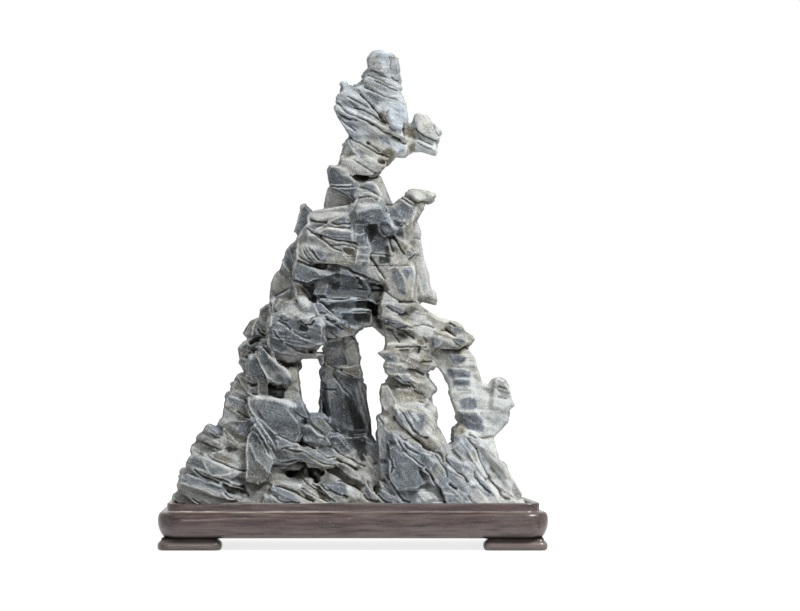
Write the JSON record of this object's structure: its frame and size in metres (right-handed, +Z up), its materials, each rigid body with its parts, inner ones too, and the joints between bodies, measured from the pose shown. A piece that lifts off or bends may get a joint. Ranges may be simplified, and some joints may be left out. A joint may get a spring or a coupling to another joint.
{
  "type": "scholars rock",
  "caption": "Tall layered limestone scholars rock with pierced legs and a narrow neck, in a low moulded dark wood stand on pad feet.",
  "frame": {"origin": "on the surface that the feet stand on, under the middle of the whole object's box", "axes": "+X to the right and -Y to the front as the stone is displayed, +Z up"},
  "size_m": [0.124, 0.048, 0.1599],
  "materials": {
    "stone": "matte weathered blue-grey limestone with pale worn ridges and dark cracks",
    "hardwood": "satin lacquered dark hardwood"
  },
  "bodies": {
    "root": {"rock": "stone", "stand": "hardwood", "foot_front_left": "hardwood", "foot_front_right": "hardwood", "foot_back_left": "hardwood", "foot_back_right": "hardwood"}
  },
  "joints": []
}
